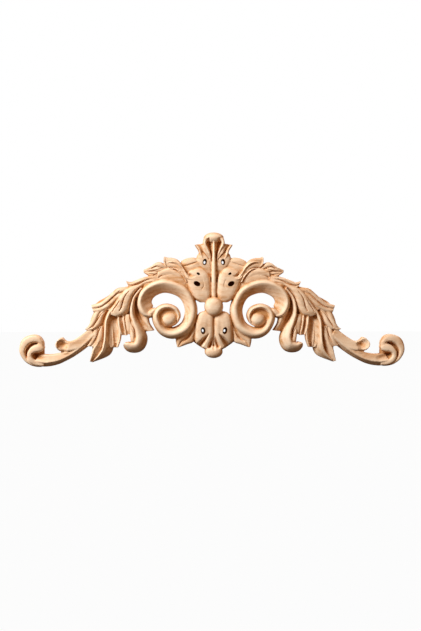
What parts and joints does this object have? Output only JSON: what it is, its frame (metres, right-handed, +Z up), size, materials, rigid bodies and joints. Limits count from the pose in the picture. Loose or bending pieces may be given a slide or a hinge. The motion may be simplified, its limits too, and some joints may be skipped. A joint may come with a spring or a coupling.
{
  "type": "carved wood applique",
  "caption": "Pediment-shaped carved wood applique with mirrored scrolls, acanthus leaves, a palmette and curled tails round a central boss, flat at the back.",
  "frame": {"origin": "on the flat back, behind the middle of the centre boss", "axes": "+Z up, +X towards the right-hand tail as seen from the front, -Y out of the carved front; the back lies on Y = 0 and faces +Y"},
  "size_m": [0.5998, 0.024, 0.2087],
  "materials": {
    "carved_wood": "bare light wood, sanded to a dull sheen, warmer and darker in the cuts"
  },
  "bodies": {
    "root": {"carved_applique": "carved_wood"}
  },
  "joints": []
}
